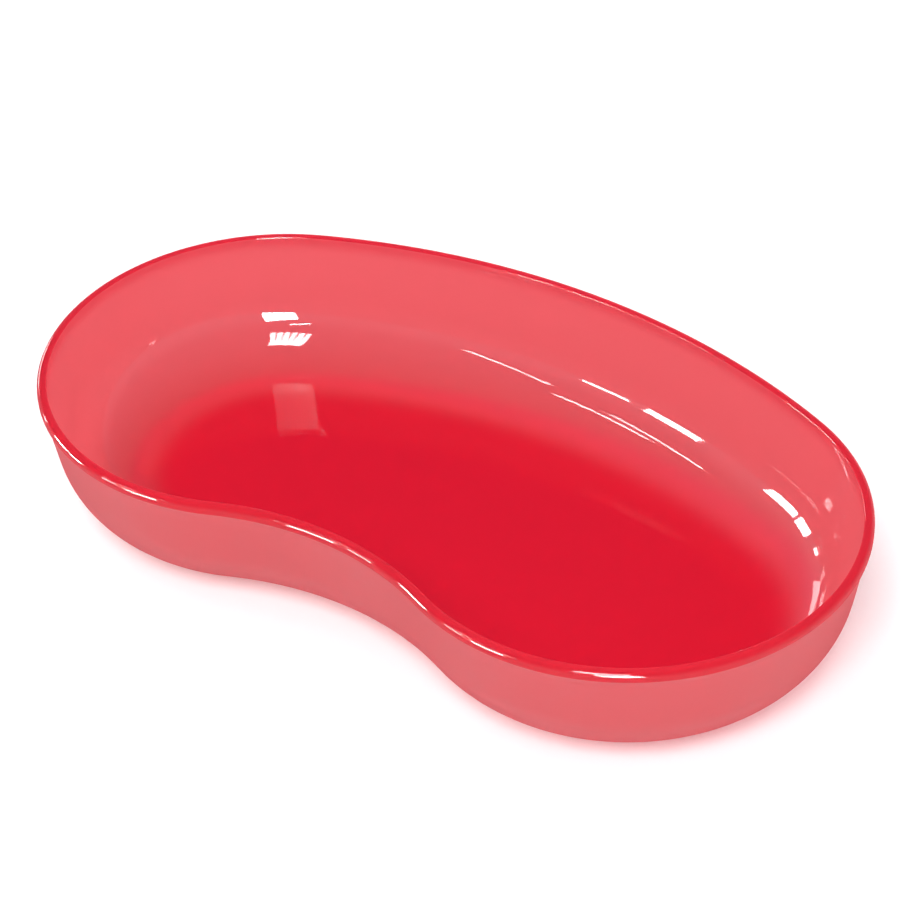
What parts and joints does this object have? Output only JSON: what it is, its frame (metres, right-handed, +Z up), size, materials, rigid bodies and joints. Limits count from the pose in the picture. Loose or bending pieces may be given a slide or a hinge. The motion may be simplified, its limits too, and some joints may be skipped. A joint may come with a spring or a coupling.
{
  "type": "kidney dish",
  "caption": "Shallow kidney-shaped ward dish in glossy translucent red plastic, with a flat floor, a curved flared wall and a beaded rim.",
  "frame": {"origin": "on the table, under the middle of the dish's length and width", "axes": "+X along the length, +Y towards the long back with the notch towards -Y, +Z up through the open top"},
  "size_m": [0.25, 0.1433, 0.04],
  "materials": {
    "red_plastic": "glossy translucent moulded polypropylene"
  },
  "bodies": {
    "root": {"rim": "red_plastic", "side_wall": "red_plastic", "base": "red_plastic"}
  },
  "joints": []
}
